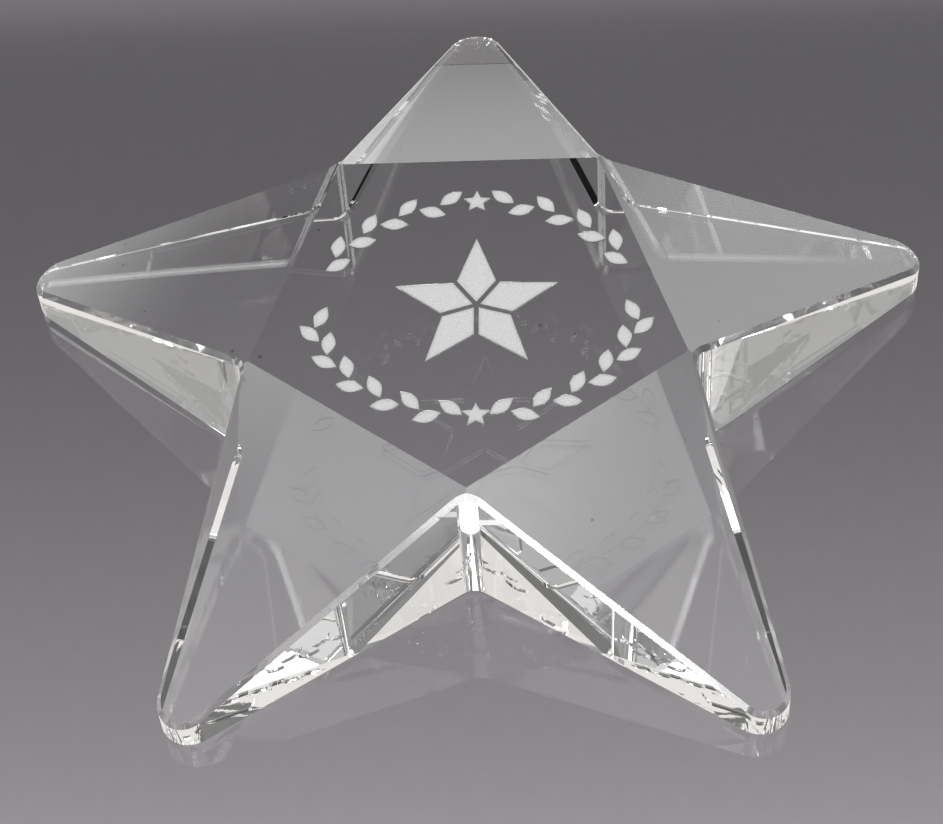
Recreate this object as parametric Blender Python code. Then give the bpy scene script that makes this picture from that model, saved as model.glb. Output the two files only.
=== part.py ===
"""Star award: one thick piece of cut crystal in the shape of a star, which lies flat on its underside.

Its top is a flat five-sided table, from which a facet falls to each of the star's points. A wreath
of leaves and a star are engraved in the table. Each frosted mark is a thin solid in its own recess.

Lengths are in metres. +Z is up, the underside is at Z = 0, the origin is at the middle of the star
and one of its points lies along +Y.
"""

import math

import bmesh
import bpy
from mathutils import Matrix, Vector

NAME = "star_award"

# Outline of the crystal, seen from above
POINTS = 5
POINT_RADIUS = 0.0578  # from the middle to where the two sides of a point would meet
NOTCH_RADIUS = 0.0247  # from the middle to where the sides of two points would meet
POINT_ROUNDING = 0.0030
NOTCH_ROUNDING = 0.0022
ROUNDING_STEPS = 12  # even, so that each ridge ends on a corner of the notch's curve
FIRST_POINT = math.radians(90)

# Height of the crystal
THICKNESS = 0.0180
TABLE_RADIUS = 0.0241  # from the middle to a corner of the flat table
POINT_END_HEIGHT = 0.0038  # what the facet leaves at the round end of a point

# Ground edges
TOP_CHAMFER = 0.0005
BOTTOM_CHAMFER = 0.0004

# Engraving
MARK_THICKNESS = 0.0003
MARK_CLEARANCE = 0.0002  # between a mark and its recess, on the sides and underneath
ENGRAVING_MIDDLE = Vector((0.0009, -0.0007))
EMBLEM_RADIUS = 0.0098
EMBLEM_NOTCH_RADIUS = 0.0040
EMBLEM_GAP = 0.0005  # between the emblem's points
WREATH_HALF_WIDTH = 0.0172  # to the line that the leaves grow along
WREATH_HALF_DEPTH = 0.0143
LEAF_LENGTH = 0.0030
LEAF_WIDTH = 0.0015
LEAF_STEPS = 7
LEAF_TILT = math.radians(30)
LEAF_OFFSET = 0.00075  # to either side of the wreath's line
WREATH_STAR_RADIUS = 0.0015
WREATH_STAR_NOTCH_RADIUS = 0.0007

# Where a wreath star sits, how many leaves there are to each side of it, and how far round from it the
# first and last of them sit: the leaves point from the first towards the last
BRANCHES = {
    "upper": (math.radians(90), 8, math.radians(64), math.radians(9)),
    "lower": (math.radians(270), 11, math.radians(9), math.radians(85)),
}

CUTTER_SIZE = 0.1  # the facets' cutters reach past the whole star
CUTTER_OVERLAP = 0.001  # how far a recess's cutter stands out of the table

HALF_STEP = math.pi / POINTS
HALF_POINT = math.atan2(
    NOTCH_RADIUS * math.sin(HALF_STEP),
    POINT_RADIUS - NOTCH_RADIUS * math.cos(HALF_STEP),
)
HALF_NOTCH = HALF_POINT + HALF_STEP
POINT_END = POINT_RADIUS - POINT_ROUNDING / math.sin(HALF_POINT) + POINT_ROUNDING
TABLE_SIDE = TABLE_RADIUS * math.cos(HALF_STEP)
FACET_SLOPE = math.atan2(THICKNESS - POINT_END_HEIGHT, POINT_END - TABLE_SIDE)


def clear_scene():
    for obj in list(bpy.data.objects):
        bpy.data.objects.remove(obj)


def new_collection(name, hidden=False):
    collection = bpy.data.collections.new(name)
    collection.hide_render = hidden
    bpy.context.scene.collection.children.link(collection)
    return collection


def new_material(name, color, roughness, transmission, ior):
    material = bpy.data.materials.new(name)
    material.use_nodes = True
    shader = material.node_tree.nodes["Principled BSDF"]
    shader.inputs["Base Color"].default_value = (*color, 1)
    shader.inputs["Metallic"].default_value = 0
    shader.inputs["Roughness"].default_value = roughness
    shader.inputs["Transmission Weight"].default_value = transmission
    shader.inputs["IOR"].default_value = ior
    return material


def crystal_material():
    return new_material("optical_crystal", (0.97, 0.98, 0.98), 0.0, 1.0, 1.52)


def frosted_material():
    return new_material("frosted_engraving", (0.84, 0.84, 0.83), 0.85, 0.0, 1.52)


def towards(angle):
    return Vector((math.cos(angle), math.sin(angle)))


def arc(middle, radius, start, end, steps):
    """Points along an arc, with both its ends."""
    return [middle + radius * towards(start + (end - start) * i / steps) for i in range(steps + 1)]


def crystal_outline():
    """The star seen from above, anticlockwise, with round ends on its points and in its notches."""
    point_middle = POINT_END - POINT_ROUNDING
    notch_middle = NOTCH_RADIUS + NOTCH_ROUNDING / math.sin(HALF_NOTCH)
    point_swing = math.pi / 2 - HALF_POINT
    notch_swing = math.pi / 2 - HALF_NOTCH
    outline = []
    for i in range(POINTS):
        at_point = FIRST_POINT + 2 * i * HALF_STEP
        at_notch = at_point + HALF_STEP
        inwards = at_notch + math.pi
        outline += arc(
            point_middle * towards(at_point),
            POINT_ROUNDING,
            at_point - point_swing,
            at_point + point_swing,
            ROUNDING_STEPS,
        )
        outline += arc(
            notch_middle * towards(at_notch),
            NOTCH_ROUNDING,
            inwards + notch_swing,
            inwards - notch_swing,
            ROUNDING_STEPS,
        )
    return outline


def sharp_star(radius, notch_radius):
    """A small star with sharp points, one of them along +Y, anticlockwise."""
    radii = (radius, notch_radius) * POINTS
    return [r * towards(FIRST_POINT + i * HALF_STEP) for i, r in enumerate(radii)]


def emblem_point():
    """One of the kites that the emblem is made of, with its sharp end along +X, anticlockwise."""
    kite = [
        Vector((0, 0)),
        EMBLEM_NOTCH_RADIUS * towards(-HALF_STEP),
        Vector((EMBLEM_RADIUS, 0)),
        EMBLEM_NOTCH_RADIUS * towards(HALF_STEP),
    ]
    return grown(kite, -EMBLEM_GAP / 2)


def leaf():
    """A leaf along +X, sharp at both ends, anticlockwise."""
    lower = []
    for i in range(LEAF_STEPS):
        share = i / LEAF_STEPS
        lower.append(Vector((LEAF_LENGTH * (share - 0.5), -LEAF_WIDTH / 2 * math.sin(math.pi * share))))
    return lower + [-point for point in lower]


def grown(outline, distance):
    """An anticlockwise outline with each side moved outwards by this distance, or inwards below zero."""
    moved = []
    for i, point in enumerate(outline):
        before = (point - outline[i - 1]).normalized()
        after = (outline[(i + 1) % len(outline)] - point).normalized()
        normal_before = Vector((before.y, -before.x))
        normal_after = Vector((after.y, -after.x))
        mitre = normal_before + normal_after
        moved.append(point + mitre * distance / (1 + normal_before.dot(normal_after)))
    return moved


def prism_mesh(name, outline, low, high):
    """The mesh of a solid with this outline between two heights."""
    curve = bpy.data.curves.new(name, "CURVE")
    curve.dimensions = "2D"
    curve.fill_mode = "BOTH"
    curve.extrude = (high - low) / 2
    spline = curve.splines.new("POLY")
    spline.points.add(len(outline) - 1)
    for point, place in zip(spline.points, outline):
        point.co = (place.x, place.y, 0, 1)
    spline.use_cyclic_u = True
    sketch = bpy.data.objects.new(name, curve)
    bpy.context.scene.collection.objects.link(sketch)
    mesh = applied_mesh(sketch)
    mesh.transform(Matrix.Translation((0, 0, (low + high) / 2)))
    bpy.data.objects.remove(sketch)
    bpy.data.curves.remove(curve)
    return mesh


def applied_mesh(obj):
    """A new mesh with the object's modifiers applied and its points welded."""
    bpy.context.view_layer.update()
    graph = bpy.context.evaluated_depsgraph_get()
    mesh = bpy.data.meshes.new_from_object(obj.evaluated_get(graph))
    work = bmesh.new()
    work.from_mesh(mesh)
    bmesh.ops.remove_doubles(work, verts=work.verts, dist=1e-6)
    bmesh.ops.recalc_face_normals(work, faces=work.faces)
    work.to_mesh(mesh)
    work.free()
    return mesh


def place(name, mesh, collection, location=(0, 0), turn=0.0):
    obj = bpy.data.objects.new(name, mesh)
    obj.location = (*location, 0)
    obj.rotation_euler.z = turn
    collection.objects.link(obj)
    return obj


def make_cutter(name, mesh, collection, location=(0, 0), turn=0.0):
    cutter = place(name, mesh, collection, location, turn)
    cutter.hide_render = True
    cutter.display_type = "WIRE"
    return cutter


def make_facet_cutters(collection):
    """For each point, a block that lies on the plane of its facet."""
    work = bmesh.new()
    bmesh.ops.create_cube(work, size=CUTTER_SIZE, matrix=Matrix.Translation((0, 0, CUTTER_SIZE / 2)))
    slope = Matrix.Rotation(FACET_SLOPE, 4, "Y")
    bmesh.ops.transform(work, matrix=slope, verts=work.verts)
    bmesh.ops.translate(work, vec=(TABLE_SIDE, 0, THICKNESS), verts=work.verts)
    mesh = bpy.data.meshes.new("facet_cutter")
    work.to_mesh(mesh)
    work.free()
    for i in range(POINTS):
        make_cutter(f"facet_cutter_{i + 1}", mesh, collection, turn=FIRST_POINT + 2 * i * HALF_STEP)


def cut_with(obj, name, cutters):
    modifier = obj.modifiers.new(name, "BOOLEAN")
    modifier.operation = "DIFFERENCE"
    modifier.solver = "EXACT"
    modifier.operand_type = "COLLECTION"
    modifier.collection = cutters


def grind_edges(mesh):
    """Chamfers the edges where the upright sides meet the top and the underside."""
    work = bmesh.new()
    work.from_mesh(mesh)
    for width, side in ((TOP_CHAMFER, 1), (BOTTOM_CHAMFER, -1)):
        work.normal_update()
        edges = []
        for edge in work.edges:
            rises = sorted(face.normal.z * side for face in edge.link_faces)
            if abs(rises[0]) < 0.1 and rises[1] > 0.8:
                edges.append(edge)
        bmesh.ops.bevel(
            work,
            geom=edges,
            offset=width,
            offset_type="OFFSET",
            segments=1,
            profile=0.5,
            affect="EDGES",
        )
    work.to_mesh(mesh)
    work.free()


def make_crystal(parts, facet_cutters, recess_cutters, material):
    blank = place("crystal_blank", prism_mesh("crystal_blank", crystal_outline(), 0, THICKNESS), parts)
    cut_with(blank, "facets", facet_cutters)
    mesh = applied_mesh(blank)
    bpy.data.objects.remove(blank)
    grind_edges(mesh)
    mesh.shade_smooth()
    mesh.set_sharp_from_angle(angle=math.radians(15))
    mesh.materials.append(material)
    crystal = place("crystal_star", mesh, parts)
    cut_with(crystal, "engraving", recess_cutters)
    return crystal


def make_mark_meshes(name, outline, material):
    """The meshes of a frosted mark, flush with the table, and of the cutter for its recess."""
    mark = prism_mesh(name, outline, THICKNESS - MARK_THICKNESS, THICKNESS)
    mark.materials.append(material)
    recess = prism_mesh(
        name + "_recess",
        grown(outline, MARK_CLEARANCE),
        THICKNESS - MARK_THICKNESS - MARK_CLEARANCE,
        THICKNESS + CUTTER_OVERLAP,
    )
    return mark, recess


def engrave(name, meshes, parts, cutters, location, turn=0.0):
    mark, recess = meshes
    place(name, mark, parts, location, turn)
    make_cutter(name + "_recess", recess, cutters, location, turn)


def make_emblem(parts, cutters, material):
    meshes = make_mark_meshes("emblem_point", emblem_point(), material)
    for i in range(POINTS):
        turn = FIRST_POINT + 2 * i * HALF_STEP
        engrave(f"emblem_point_{i + 1}", meshes, parts, cutters, ENGRAVING_MIDDLE, turn)


def wreath_place(angle):
    """A place on the wreath's line, and the directions there along the line and out of it."""
    spot = Vector((WREATH_HALF_WIDTH * math.cos(angle), WREATH_HALF_DEPTH * math.sin(angle)))
    along = Vector((-WREATH_HALF_WIDTH * math.sin(angle), WREATH_HALF_DEPTH * math.cos(angle))).normalized()
    return ENGRAVING_MIDDLE + spot, along, Vector((along.y, -along.x))


def make_row_of_leaves(name, meshes, parts, cutters, star_angle, turn, count, first, last):
    """The leaves to one side of a wreath star: anticlockwise from it where turn is 1."""
    onwards = turn if last > first else -turn
    for i in range(count):
        spread = first + (last - first) * i / (count - 1)
        spot, along, outwards = wreath_place(star_angle + turn * spread)
        side = 1 if i % 2 else -1
        heading = along * onwards * math.cos(LEAF_TILT) + outwards * side * math.sin(LEAF_TILT)
        location = spot + outwards * side * LEAF_OFFSET
        engrave(f"{name}_{i + 1:02d}", meshes, parts, cutters, location, math.atan2(heading.y, heading.x))


def make_wreath(parts, cutters, material):
    leaf_meshes = make_mark_meshes("wreath_leaf", leaf(), material)
    star = sharp_star(WREATH_STAR_RADIUS, WREATH_STAR_NOTCH_RADIUS)
    star_meshes = make_mark_meshes("wreath_star", star, material)
    for branch, (star_angle, count, first, last) in BRANCHES.items():
        engrave(f"wreath_star_{branch}", star_meshes, parts, cutters, wreath_place(star_angle)[0])
        anticlockwise = "left" if branch == "upper" else "right"
        for side in ("left", "right"):
            turn = 1 if side == anticlockwise else -1
            name = f"leaf_{branch}_{side}"
            make_row_of_leaves(name, leaf_meshes, parts, cutters, star_angle, turn, count, first, last)


def main():
    clear_scene()
    parts = new_collection(NAME)
    facet_cutters = new_collection(NAME + "_facet_cutters", hidden=True)
    recess_cutters = new_collection(NAME + "_recess_cutters", hidden=True)
    frosted = frosted_material()
    make_facet_cutters(facet_cutters)
    make_emblem(parts, recess_cutters, frosted)
    make_wreath(parts, recess_cutters, frosted)
    make_crystal(parts, facet_cutters, recess_cutters, crystal_material())


main()
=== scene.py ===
import math

import bmesh
import bpy
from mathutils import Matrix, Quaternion, Vector


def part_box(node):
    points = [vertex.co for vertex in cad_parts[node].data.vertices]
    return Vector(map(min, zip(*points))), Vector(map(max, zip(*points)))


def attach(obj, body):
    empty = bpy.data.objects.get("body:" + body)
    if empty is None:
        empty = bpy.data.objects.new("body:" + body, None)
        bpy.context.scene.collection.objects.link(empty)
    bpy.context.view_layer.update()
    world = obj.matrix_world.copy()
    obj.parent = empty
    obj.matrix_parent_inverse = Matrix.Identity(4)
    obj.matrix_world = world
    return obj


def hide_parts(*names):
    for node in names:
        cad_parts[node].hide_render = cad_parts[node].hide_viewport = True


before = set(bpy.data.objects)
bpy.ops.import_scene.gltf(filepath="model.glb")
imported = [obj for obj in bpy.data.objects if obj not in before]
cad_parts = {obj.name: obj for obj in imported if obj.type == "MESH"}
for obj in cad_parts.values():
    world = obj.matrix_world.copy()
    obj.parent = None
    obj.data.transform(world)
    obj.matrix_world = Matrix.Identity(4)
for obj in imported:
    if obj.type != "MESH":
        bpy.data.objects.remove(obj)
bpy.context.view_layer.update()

# The crystal, measured on its CAD node
STAR_NODE = "crystal_star"
STAR_LOW, STAR_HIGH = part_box(STAR_NODE)
WIDTH = STAR_HIGH.x - STAR_LOW.x
THICKNESS = STAR_HIGH.z - STAR_LOW.z

# The crystal's outline as shares of its width
POINTS = 5
POINT_RADIUS = 0.578 * WIDTH
NOTCH_RADIUS = 0.247 * WIDTH
POINT_ROUNDING = 0.030 * WIDTH
NOTCH_ROUNDING = 0.022 * WIDTH
TABLE_RADIUS = 0.241 * WIDTH
POINT_END_HEIGHT = 0.211 * THICKNESS
TOP_CHAMFER = 0.005 * WIDTH
BOTTOM_CHAMFER = 0.004 * WIDTH
ROUNDING_STEPS = 24
LONGEST_ROUNDING_STEP = 0.01 * WIDTH
SHARP_ANGLE = math.radians(15)
MERGE_DISTANCE = 1e-7
FIRST_POINT = math.radians(90)

# Which faces count as walls and which as tops, by how far their normals rise
MOST_RISE_OF_WALL = 0.1
LEAST_RISE_OF_TOP = 0.8

# The engraving sits in recesses this much wider and deeper than its pieces. Their cutter reaches
# this far out of the table
RECESS_CLEARANCE = 0.0003 * WIDTH
RECESS_OVERSHOOT = 0.01 * WIDTH

# The finish of the glass: upright lines in the walls, and specks of dust in a share of the cells of
# a pattern, with a radius that is a share of a cell
CRYSTAL_IOR = 1.52
LINE_SCALE = 90 / WIDTH
LINE_STRETCH = (1, 1, 0.02)
LINE_DEPTH = 0.000015 * WIDTH
LINES_END_AT_RISE = 0.2
SPECK_SCALE = 26 / WIDTH
SPECK_SHARE = 0.5
SPECK_RADIUS = 0.06
SPECK_TONE = 0.3

# The finish of the engraving
FROST_SCALE = 400 / WIDTH
FROST_SCATTER = 0.006 * WIDTH
FROST_DEPTH = 0.0003 * WIDTH
FROST_TONES = (0.8, 1)
FROST_ROUGHNESS = (0.65, 0.95)
NOISE_LOW = 0.3
NOISE_HIGH = 0.7

HALF_STEP = math.pi / POINTS
HALF_POINT = math.atan2(
    NOTCH_RADIUS * math.sin(HALF_STEP),
    POINT_RADIUS - NOTCH_RADIUS * math.cos(HALF_STEP),
)
HALF_NOTCH = HALF_POINT + HALF_STEP
POINT_END = POINT_RADIUS - POINT_ROUNDING / math.sin(HALF_POINT) + POINT_ROUNDING
TABLE_SIDE = TABLE_RADIUS * math.cos(HALF_STEP)
FACET_SLOPE = math.atan2(THICKNESS - POINT_END_HEIGHT, POINT_END - TABLE_SIDE)

# The camera
AIM = Vector((0, -0.081 * WIDTH, THICKNESS / 2))
CAMERA_AZIMUTH = math.radians(-4.02)
CAMERA_ELEVATION = math.radians(53.63)
CAMERA_ROLL = math.radians(-4.61)
CAMERA_DISTANCE = 2.87 * WIDTH
CAMERA_LENS = 102.96
CAMERA_SENSOR = 36
CAMERA_NEAR = 0.1 * WIDTH
LIGHT_BOUNCES = 24

# The studio: the floor lies just under the crystal, and above it, unseen by the camera, a white
# sheet with a hole for the crystal
FLOOR_SIZE = 60 * WIDTH
FLOOR_DROP = 0.003 * WIDTH
SHEET_SIZE = 28 * WIDTH
SHEET_RADIANCE = 0.8
SHEET_COLOR = (1, 0.98, 0.94)
STUDIO_RADIUS = 15 * WIDTH
OVERHEAD_ELEVATION = 88
OVERHEAD_WIDTH = 16
OVERHEAD_RADIANCE = 28.5
AMBIENT = 0.1

# name: azimuth from straight behind the star round to the right, elevation, how wide and how
# tall the card looks from the star, all in degrees, and its radiance
CARDS = {
    "backdrop": (0, 27, 44, 43, 0.9),
    "backdrop_low": (0, 5, 44, 16, 2.0),
    "right_back": (41, 19, 27, 24, 2.8),
    "left_back": (321, 10, 18, 15, 4.8),
    "right_high": (98, 57, 28, 26, 1.8),
    "right_top": (98, 70, 18, 16, 3.6),
    "left_high": (264, 57, 32, 26, 1.9),
    "right_back_high": (45, 54, 40, 18, 0.2),
    "left_back_high": (315, 54, 40, 18, 0.18),
    "right": (70, 32, 40, 16, 0.5),
    "right_low": (45, 3, 90, 8, 0.25),
    "left": (285, 30, 50, 20, 0.6),
    "front_left": (225, 36, 50, 18, 0.3),
    "front_left_low": (205, 20, 26, 18, 18),
    "front": (180, 20, 60, 26, 0.4),
}
CARD_COLOR = (1, 1, 1)
CARD_SOFTNESS = 6
CARD_MIDDLE = 0.5

# Black cards that show in the front arms' long edges and beside the table, placed like the others
BLACK_CARDS = {
    "black_right": (75, 14, 80, 16),
    "black_left": (275, 13, 60, 13),
}

# How light the paper is along Y, which is in widths of the star, with shade painted in darkest just
# behind the star, and its tint
PAPER_TONES_WITH_PAINTED_SHADE = (
    (-0.9, 0.65), (-0.52, 0.36), (-0.27, 0.275), (-0.03, 0.195), (0.22, 0.15),
    (0.41, 0.14), (0.51, 0.14), (0.62, 0.15), (0.9, 0.5),
)
PAPER_TINT = (1.02, 0.975, 1.03)
PAPER_GRAIN_SCALE = 40 / WIDTH
PAPER_GRAIN = (0.96, 1.04)
PAPER_ROUGHNESS = 0.03
PAPER_GLOSS = 0.7


def towards(angle):
    return Vector((math.cos(angle), math.sin(angle), 0))


def arc(middle, radius, start, end, steps):
    return [middle + radius * towards(start + (end - start) * i / steps) for i in range(steps + 1)]


def crystal_outline():
    point_middle = POINT_END - POINT_ROUNDING
    notch_middle = NOTCH_RADIUS + NOTCH_ROUNDING / math.sin(HALF_NOTCH)
    point_swing = math.pi / 2 - HALF_POINT
    notch_swing = math.pi / 2 - HALF_NOTCH
    outline = []
    for i in range(POINTS):
        at_point = FIRST_POINT + 2 * i * HALF_STEP
        at_notch = at_point + HALF_STEP
        inwards = at_notch + math.pi
        outline += arc(point_middle * towards(at_point), POINT_ROUNDING,
                       at_point - point_swing, at_point + point_swing, ROUNDING_STEPS)
        outline += arc(notch_middle * towards(at_notch), NOTCH_ROUNDING,
                       inwards + notch_swing, inwards - notch_swing, ROUNDING_STEPS)
    return outline


def cut_above(work, at, normal):
    """Cuts off what is beyond a plane and closes the cut with one face."""
    everything = work.verts[:] + work.edges[:] + work.faces[:]
    cut = bmesh.ops.bisect_plane(
        work, geom=everything, dist=MERGE_DISTANCE, plane_co=at, plane_no=normal, clear_outer=True)
    rim = [e for e in cut["geom_cut"] if isinstance(e, bmesh.types.BMEdge)]
    bmesh.ops.edgeloop_fill(work, edges=rim)


def grind_edges(work, width, side):
    """A chamfer where the walls meet the top (side 1) or the underside (side -1)."""
    work.normal_update()
    edges = []
    for edge in work.edges:
        rises = sorted(face.normal.z * side for face in edge.link_faces)
        if abs(rises[0]) < MOST_RISE_OF_WALL and rises[1] > LEAST_RISE_OF_TOP:
            edges.append(edge)
    bmesh.ops.bevel(work, geom=edges, offset=width, offset_type="OFFSET", segments=1,
                    profile=0.5, affect="EDGES")


def new_object(name, work):
    mesh = bpy.data.meshes.new(name)
    work.to_mesh(mesh)
    work.free()
    obj = bpy.data.objects.new(name, mesh)
    bpy.context.scene.collection.objects.link(obj)
    return obj


def make_recess_cutter(marks):
    """One mesh of every mark, a little grown and drawn up through the table."""
    work = bmesh.new()
    for mark in marks:
        low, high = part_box(mark.name)
        middle = (low + high) / 2
        reach = (high - low) / 2
        grow_x = 1 + RECESS_CLEARANCE / reach.x
        grow_y = 1 + RECESS_CLEARANCE / reach.y
        before = len(work.verts)
        work.from_mesh(mark.data)
        work.verts.ensure_lookup_table()
        for vertex in work.verts[before:]:
            vertex.co.x = middle.x + (vertex.co.x - middle.x) * grow_x
            vertex.co.y = middle.y + (vertex.co.y - middle.y) * grow_y
            vertex.co.z += RECESS_OVERSHOOT if vertex.co.z > middle.z else -RECESS_CLEARANCE
    bmesh.ops.remove_doubles(work, verts=work.verts, dist=MERGE_DISTANCE)
    return new_object("recess_cutter", work)


def cut_recesses(crystal, marks):
    cutter = make_recess_cutter(marks)
    cut = crystal.modifiers.new("recesses", "BOOLEAN")
    cut.operation = "DIFFERENCE"
    cut.solver = "EXACT"
    cut.object = cutter
    graph = bpy.context.evaluated_depsgraph_get()
    finished = bpy.data.meshes.new_from_object(crystal.evaluated_get(graph))
    crystal.modifiers.clear()
    crystal.data = finished
    bpy.data.objects.remove(cutter)


def shade_roundings(mesh):
    """Smooth shading only on the short steps of a rounded edge, so that every facet stays flat."""
    mesh.set_sharp_from_angle(angle=SHARP_ANGLE)
    for face in mesh.polygons:
        corners = [mesh.vertices[i].co for i in face.vertices]
        steps = [(b - a).xy.length for a, b in zip(corners, corners[1:] + corners[:1])]
        face.use_smooth = max(steps) < LONGEST_ROUNDING_STEP


def make_crystal(marks):
    work = bmesh.new()
    base = work.faces.new([work.verts.new(point) for point in crystal_outline()])
    raised = bmesh.ops.extrude_face_region(work, geom=[base])
    tops = [v for v in raised["geom"] if isinstance(v, bmesh.types.BMVert)]
    bmesh.ops.translate(work, vec=(0, 0, THICKNESS), verts=tops)
    bmesh.ops.recalc_face_normals(work, faces=work.faces)
    for i in range(POINTS):
        downhill = towards(FIRST_POINT + 2 * i * HALF_STEP)
        at = downhill * TABLE_SIDE + Vector((0, 0, THICKNESS))
        normal = downhill * math.sin(FACET_SLOPE) + Vector((0, 0, math.cos(FACET_SLOPE)))
        cut_above(work, at, normal)
    grind_edges(work, TOP_CHAMFER, 1)
    grind_edges(work, BOTTOM_CHAMFER, -1)
    bmesh.ops.recalc_face_normals(work, faces=work.faces)
    crystal = new_object("crystal", work)
    cut_recesses(crystal, marks)
    shade_roundings(crystal.data)
    return crystal


def new_material(name):
    material = bpy.data.materials.new(name)
    material.use_nodes = True
    tree = material.node_tree
    return material, tree, tree.nodes["Principled BSDF"]


def add_noise(tree, place, scale, detail, stretch=(1, 1, 1)):
    """Noise over the object's own coordinates, finer where stretch is larger."""
    mapping = tree.nodes.new("ShaderNodeMapping")
    mapping.inputs["Scale"].default_value = stretch
    noise = tree.nodes.new("ShaderNodeTexNoise")
    noise.inputs["Scale"].default_value = scale
    noise.inputs["Detail"].default_value = detail
    tree.links.new(place.outputs["Object"], mapping.inputs["Vector"])
    tree.links.new(mapping.outputs["Vector"], noise.inputs["Vector"])
    return noise


def add_map(tree, value, low, high, start=0, end=1):
    """Stretches start..end to low..high, and holds the value at either end."""
    remap = tree.nodes.new("ShaderNodeMapRange")
    remap.inputs["From Min"].default_value = start
    remap.inputs["From Max"].default_value = end
    remap.inputs["To Min"].default_value = low
    remap.inputs["To Max"].default_value = high
    tree.links.new(value, remap.inputs["Value"])
    return remap


def add_bump(tree, height, depth):
    bump = tree.nodes.new("ShaderNodeBump")
    bump.inputs["Distance"].default_value = depth
    tree.links.new(height, bump.inputs["Height"])
    return bump


def add_polishing_lines(tree, place, shader):
    """Faint upright lines in the walls of the crystal, and none in its facets."""
    lines = add_noise(tree, place, scale=LINE_SCALE, detail=3, stretch=LINE_STRETCH)
    surface = tree.nodes.new("ShaderNodeNewGeometry")
    split = tree.nodes.new("ShaderNodeSeparateXYZ")
    rise = tree.nodes.new("ShaderNodeMath")
    rise.operation = "ABSOLUTE"
    tree.links.new(surface.outputs["True Normal"], split.inputs["Vector"])
    tree.links.new(split.outputs["Z"], rise.inputs[0])
    on_walls = add_map(tree, rise.outputs["Value"], 1, 0, end=LINES_END_AT_RISE)
    height = tree.nodes.new("ShaderNodeMath")
    height.operation = "MULTIPLY"
    tree.links.new(lines.outputs["Fac"], height.inputs[0])
    tree.links.new(on_walls.outputs["Result"], height.inputs[1])
    bump = add_bump(tree, height.outputs["Value"], LINE_DEPTH)
    tree.links.new(bump.outputs["Normal"], shader.inputs["Normal"])


def add_dust(tree, place, shader):
    """Dark specks of different sizes, at most one in each cell of a Voronoi pattern."""
    cells = tree.nodes.new("ShaderNodeTexVoronoi")
    cells.inputs["Scale"].default_value = SPECK_SCALE
    chance = tree.nodes.new("ShaderNodeSeparateColor")
    tree.links.new(place.outputs["Object"], cells.inputs["Vector"])
    tree.links.new(cells.outputs["Color"], chance.inputs["Color"])
    reach = add_map(tree, chance.outputs["Red"], 0, SPECK_RADIUS, start=1 - SPECK_SHARE)
    clear = tree.nodes.new("ShaderNodeMath")
    clear.operation = "GREATER_THAN"
    tree.links.new(cells.outputs["Distance"], clear.inputs[0])
    tree.links.new(reach.outputs["Result"], clear.inputs[1])
    tint = add_map(tree, clear.outputs["Value"], SPECK_TONE, 1)
    tree.links.new(tint.outputs["Result"], shader.inputs["Base Color"])


def crystal_material():
    material, tree, shader = new_material("polished_crystal")
    shader.inputs["Roughness"].default_value = 0
    shader.inputs["Transmission Weight"].default_value = 1
    shader.inputs["IOR"].default_value = CRYSTAL_IOR
    place = tree.nodes.new("ShaderNodeTexCoord")
    add_polishing_lines(tree, place, shader)
    add_dust(tree, place, shader)
    return material


def frosted_material():
    """The white of laser engraving, which scatters light under its surface."""
    material, tree, shader = new_material("frosted_glass")
    shader.inputs["Subsurface Weight"].default_value = 1
    shader.inputs["Subsurface Radius"].default_value = (1, 1, 1)
    shader.inputs["Subsurface Scale"].default_value = FROST_SCATTER
    place = tree.nodes.new("ShaderNodeTexCoord")
    grain = add_noise(tree, place, scale=FROST_SCALE, detail=3)
    white = add_map(tree, grain.outputs["Fac"], *FROST_TONES, start=NOISE_LOW, end=NOISE_HIGH)
    rough = add_map(tree, grain.outputs["Fac"], *FROST_ROUGHNESS)
    pits = add_bump(tree, grain.outputs["Fac"], FROST_DEPTH)
    tree.links.new(white.outputs["Result"], shader.inputs["Base Color"])
    tree.links.new(rough.outputs["Result"], shader.inputs["Roughness"])
    tree.links.new(pits.outputs["Normal"], shader.inputs["Normal"])
    return material


def finish_marks(marks):
    """Frosts the engraving. It is seen directly only, so that it leaves no dark copies in the glass."""
    frosted = frosted_material()
    for mark in marks:
        mark.visible_shadow = False
        mark.visible_transmission = False
        for slot in mark.material_slots:
            slot.material = frosted


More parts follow.
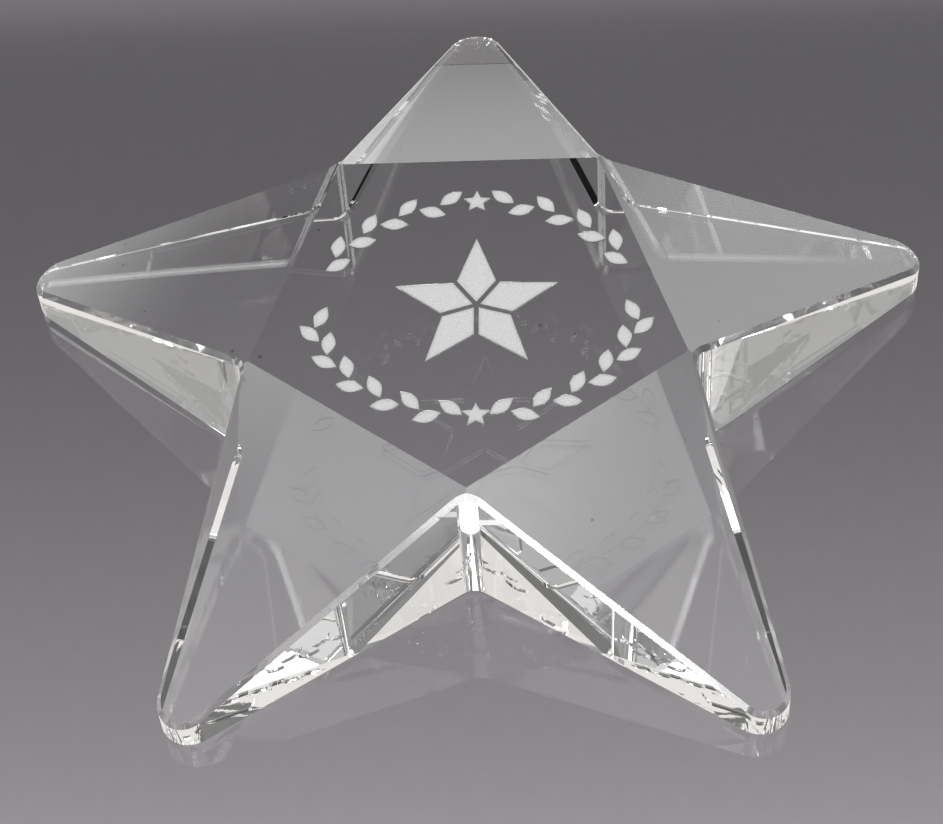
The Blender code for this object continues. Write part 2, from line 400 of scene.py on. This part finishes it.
def floor_material():
    """Paper with shade painted into its colour as a gradient, darkest just behind the star, and a faint
    grain.
    """
    material, tree, shader = new_material("paper_with_painted_shade")
    place = tree.nodes.new("ShaderNodeTexCoord")
    split = tree.nodes.new("ShaderNodeSeparateXYZ")
    spread = tree.nodes.new("ShaderNodeMapRange")
    spread.inputs["From Min"].default_value = -WIDTH
    spread.inputs["From Max"].default_value = WIDTH
    # The painted shade: a ramp of tones along Y, darkest just behind the star
    ramp = tree.nodes.new("ShaderNodeValToRGB")
    tree.links.new(place.outputs["Object"], split.inputs["Vector"])
    tree.links.new(split.outputs["Y"], spread.inputs["Value"])
    tree.links.new(spread.outputs["Result"], ramp.inputs["Fac"])
    ramp.color_ramp.interpolation = "B_SPLINE"
    stops = ramp.color_ramp.elements
    while len(stops) < len(PAPER_TONES_WITH_PAINTED_SHADE):
        stops.new(1)
    for stop, (y, tone) in zip(stops, PAPER_TONES_WITH_PAINTED_SHADE):
        stop.position = (y + 1) / 2
        stop.color = (*(tone * share for share in PAPER_TINT), 1)
    grain = add_noise(tree, place, scale=PAPER_GRAIN_SCALE, detail=6)
    speckle = add_map(tree, grain.outputs["Fac"], *PAPER_GRAIN)
    tinted = tree.nodes.new("ShaderNodeVectorMath")
    tinted.operation = "SCALE"
    tree.links.new(ramp.outputs["Color"], tinted.inputs["Vector"])
    tree.links.new(speckle.outputs["Result"], tinted.inputs["Scale"])
    tree.links.new(tinted.outputs["Vector"], shader.inputs["Base Color"])
    shader.inputs["Roughness"].default_value = PAPER_ROUGHNESS
    shader.inputs["Specular IOR Level"].default_value = PAPER_GLOSS
    return material


def make_floor():
    bpy.ops.mesh.primitive_plane_add(size=FLOOR_SIZE, location=(0, 0, -FLOOR_DROP))
    floor = bpy.context.object
    floor.name = "floor"
    floor.data.materials.append(floor_material())


def glowing_material(name, color, joining):
    """A glow and a clear surface, joined by a node whose last two sockets are for shaders."""
    material, tree, shader = new_material(name)
    tree.nodes.remove(shader)
    glow = tree.nodes.new("ShaderNodeEmission")
    glow.inputs["Color"].default_value = (*color, 1)
    clear = tree.nodes.new("ShaderNodeBsdfTransparent")
    both = tree.nodes.new(joining)
    tree.links.new(glow.outputs["Emission"], both.inputs[-2])
    tree.links.new(clear.outputs["BSDF"], both.inputs[-1])
    tree.links.new(both.outputs["Shader"], tree.nodes["Material Output"].inputs["Surface"])
    material.cycles.emission_sampling = "NONE"
    return material, tree, glow, both


def show_in_glass_only(obj, crystal):
    """For studio pieces: their glow reaches the crystal alone, and the camera doesn't see them."""
    receivers = bpy.data.collections.new(obj.name + "_receivers")
    receivers.objects.link(crystal)
    obj.light_linking.receiver_collection = receivers
    obj.visible_camera = False
    obj.visible_diffuse = False
    obj.visible_shadow = False


def make_sheet(crystal):
    """The white surroundings that the crystal lies in. Seen from below, the sheet is clear."""
    work = bmesh.new()
    half = SHEET_SIZE / 2
    hole = [work.verts.new(point) for point in crystal_outline()]
    corners = [work.verts.new((x * half, y * half, 0)) for x, y in ((1, 1), (-1, 1), (-1, -1), (1, -1))]
    rim = [work.edges.new((a, b)) for loop in (hole, corners) for a, b in zip(loop, loop[1:] + loop[:1])]
    bmesh.ops.triangle_fill(work, use_beauty=True, use_dissolve=False, edges=rim)
    sheet = new_object("white_sheet", work)
    sheet.location.z = -FLOOR_DROP / 2
    material, tree, glow, choice = glowing_material("white_sheet", SHEET_COLOR, "ShaderNodeMixShader")
    glow.inputs["Strength"].default_value = SHEET_RADIANCE
    side = tree.nodes.new("ShaderNodeNewGeometry")
    tree.links.new(side.outputs["Backfacing"], choice.inputs["Fac"])
    sheet.data.materials.append(material)
    show_in_glass_only(sheet, crystal)


def card_material(name, wide, tall, radiance):
    """A glow that fades towards the sides of its card."""
    material, tree, glow, _ = glowing_material(name, CARD_COLOR, "ShaderNodeAddShader")
    place = tree.nodes.new("ShaderNodeTexCoord")
    split = tree.nodes.new("ShaderNodeSeparateXYZ")
    product = tree.nodes.new("ShaderNodeMath")
    product.operation = "MULTIPLY"
    scaled = tree.nodes.new("ShaderNodeMath")
    scaled.operation = "MULTIPLY"
    scaled.inputs[1].default_value = radiance
    tree.links.new(place.outputs["Generated"], split.inputs["Vector"])
    for i, (axis, size) in enumerate((("X", wide), ("Y", tall))):
        inwards = tree.nodes.new("ShaderNodeMath")
        inwards.operation = "PINGPONG"
        inwards.inputs[1].default_value = CARD_MIDDLE
        fade = tree.nodes.new("ShaderNodeMapRange")
        fade.interpolation_type = "SMOOTHSTEP"
        fade.inputs["From Max"].default_value = min(CARD_MIDDLE, CARD_SOFTNESS / size)
        tree.links.new(split.outputs[axis], inwards.inputs[0])
        tree.links.new(inwards.outputs["Value"], fade.inputs["Value"])
        tree.links.new(fade.outputs["Result"], product.inputs[i])
    tree.links.new(product.outputs["Value"], scaled.inputs[0])
    tree.links.new(scaled.outputs["Value"], glow.inputs["Strength"])
    return material


def black_material(name):
    material, _, shader = new_material(name)
    shader.inputs["Base Color"].default_value = (0, 0, 0, 1)
    shader.inputs["Specular IOR Level"].default_value = 0
    return material


def place_facing_star(obj, azimuth, elevation):
    azimuth = math.radians(azimuth)
    elevation = math.radians(elevation)
    out = Vector((math.sin(azimuth) * math.cos(elevation),
                  math.cos(azimuth) * math.cos(elevation),
                  math.sin(elevation)))
    obj.location = out * STUDIO_RADIUS
    obj.rotation_euler = out.to_track_quat("Z", "Y").to_euler()


def width_seen_as(degrees):
    """How wide something at the studio's radius is, if it looks this wide from the star."""
    return 2 * STUDIO_RADIUS * math.tan(math.radians(degrees) / 2)


def add_card(crystal, material, azimuth, elevation, wide, tall):
    bpy.ops.mesh.primitive_plane_add(size=1)
    card = bpy.context.object
    card.name = material.name
    card.scale = (width_seen_as(wide), width_seen_as(tall), 1)
    card.data.materials.append(material)
    place_facing_star(card, azimuth, elevation)
    show_in_glass_only(card, crystal)


def add_overhead_light():
    """The softbox that lights the floor and the engraving. It shows in no reflection."""
    data = bpy.data.lights.new("overhead", "AREA")
    data.size = width_seen_as(OVERHEAD_WIDTH)
    data.energy = OVERHEAD_RADIANCE * math.pi * data.size ** 2
    light = bpy.data.objects.new("overhead", data)
    bpy.context.scene.collection.objects.link(light)
    place_facing_star(light, 0, OVERHEAD_ELEVATION)
    light.visible_camera = False
    light.visible_glossy = False
    light.visible_transmission = False


def make_lights(crystal):
    add_overhead_light()
    for name, (azimuth, elevation, wide, tall, radiance) in CARDS.items():
        material = card_material(name, wide, tall, radiance)
        add_card(crystal, material, azimuth, elevation, wide, tall)
    for name, card in BLACK_CARDS.items():
        add_card(crystal, black_material(name), *card)
    world = bpy.data.worlds.new("studio")
    world.use_nodes = True
    world.node_tree.nodes["Background"].inputs["Color"].default_value = (AMBIENT, AMBIENT, AMBIENT, 1)
    bpy.context.scene.world = world


def make_camera():
    data = bpy.data.cameras.new("camera")
    data.lens = CAMERA_LENS
    data.sensor_width = CAMERA_SENSOR
    data.clip_start = CAMERA_NEAR
    camera = bpy.data.objects.new("camera", data)
    bpy.context.scene.collection.objects.link(camera)
    ahead = Vector((math.sin(CAMERA_AZIMUTH) * math.cos(CAMERA_ELEVATION),
                    math.cos(CAMERA_AZIMUTH) * math.cos(CAMERA_ELEVATION),
                    -math.sin(CAMERA_ELEVATION)))
    camera.location = AIM - ahead * CAMERA_DISTANCE
    turn = ahead.to_track_quat("-Z", "Y") @ Quaternion((0, 0, 1), CAMERA_ROLL)
    camera.rotation_euler = turn.to_euler()
    bpy.context.scene.camera = camera


def main():
    scene = bpy.context.scene
    scene.view_settings.view_transform = "Standard"
    scene.cycles.max_bounces = LIGHT_BOUNCES
    scene.cycles.glossy_bounces = LIGHT_BOUNCES
    scene.cycles.transmission_bounces = LIGHT_BOUNCES
    make_camera()
    marks = [node for name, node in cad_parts.items() if name != STAR_NODE]
    crystal = make_crystal(marks)
    crystal.data.materials.append(crystal_material())
    crystal.visible_shadow = False
    crystal.visible_diffuse = False
    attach(crystal, "root")
    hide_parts(STAR_NODE)
    make_floor()
    make_sheet(crystal)
    make_lights(crystal)
    finish_marks(marks)


main()
